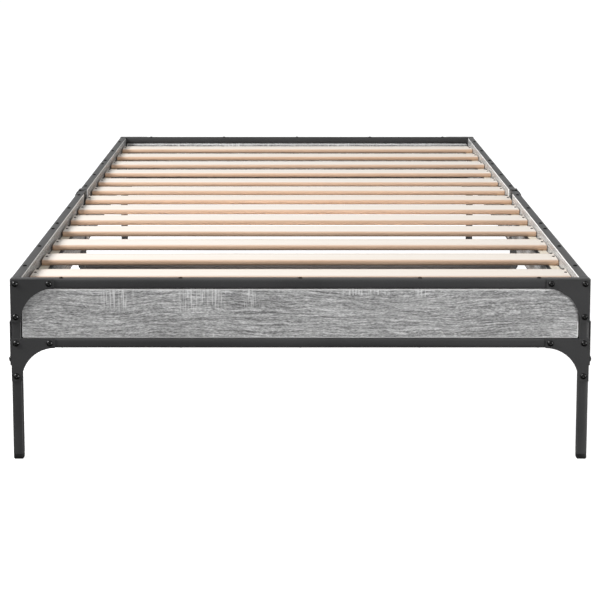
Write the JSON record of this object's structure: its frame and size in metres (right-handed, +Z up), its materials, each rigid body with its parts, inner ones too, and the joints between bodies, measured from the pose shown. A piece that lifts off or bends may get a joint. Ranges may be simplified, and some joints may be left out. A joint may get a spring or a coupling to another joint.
{
  "type": "metal bed frame",
  "caption": "Low single bed frame of dark steel tube and angle with grey wood-effect boards, curved corner gussets and flat wooden slats.",
  "frame": {"origin": "on the floor, under the middle of the bed's length and width", "axes": "+Z up, +Y from the front end (seen in the picture) to the rear end along the bed, +X to the right seen from the front end"},
  "size_m": [1.0346, 2.03, 0.33],
  "materials": {
    "frame_steel": "matt charcoal powder coat",
    "grey_board": "grey sawn-oak effect laminate, satin",
    "slat_wood": "pale planed hardwood plywood, unfinished",
    "foot_plastic": "moulded black"
  },
  "bodies": {
    "root": {"front_top_rail": "frame_steel", "front_lower_rail": "frame_steel", "front_panel": "grey_board", "front_leg_left": "frame_steel", "front_gusset_upper_left": "frame_steel", "front_gusset_lower_left": "frame_steel", "front_foot_left": "foot_plastic", "front_leg_right": "frame_steel", "front_gusset_upper_right": "frame_steel", "front_gusset_lower_right": "frame_steel", "front_foot_right": "foot_plastic", "rear_top_rail": "frame_steel", "rear_lower_rail": "frame_steel", "rear_panel": "grey_board", "rear_leg_left": "frame_steel", "rear_gusset_upper_left": "frame_steel", "rear_gusset_lower_left": "frame_steel", "rear_foot_left": "foot_plastic", "rear_leg_right": "frame_steel", "rear_gusset_upper_right": "frame_steel", "rear_gusset_lower_right": "frame_steel", "rear_foot_right": "foot_plastic", "left_slat_ledge": "frame_steel", "left_joint_plate": "frame_steel", "left_mid_leg": "frame_steel", "left_mid_foot": "foot_plastic", "left_top_angle_front": "frame_steel", "left_bottom_angle_front": "frame_steel", "left_board_front": "grey_board", "left_corner_bracket_front": "frame_steel", "left_top_angle_rear": "frame_steel", "left_bottom_angle_rear": "frame_steel", "left_board_rear": "grey_board", "left_corner_bracket_rear": "frame_steel", "right_slat_ledge": "frame_steel", "right_joint_plate": "frame_steel", "right_mid_leg": "frame_steel", "right_mid_foot": "foot_plastic", "right_top_angle_front": "frame_steel", "right_bottom_angle_front": "frame_steel", "right_board_front": "grey_board", "right_corner_bracket_front": "frame_steel", "right_top_angle_rear": "frame_steel", "right_bottom_angle_rear": "frame_steel", "right_board_rear": "grey_board", "right_corner_bracket_rear": "frame_steel", "mid_cross_tube": "frame_steel", "slat_01": "slat_wood", "slat_02": "slat_wood", "slat_03": "slat_wood", "slat_04": "slat_wood", "slat_05": "slat_wood", "slat_06": "slat_wood", "slat_07": "slat_wood", "slat_08": "slat_wood", "slat_09": "slat_wood", "slat_10": "slat_wood", "slat_11": "slat_wood", "slat_12": "slat_wood", "slat_13": "slat_wood"}
  },
  "joints": []
}
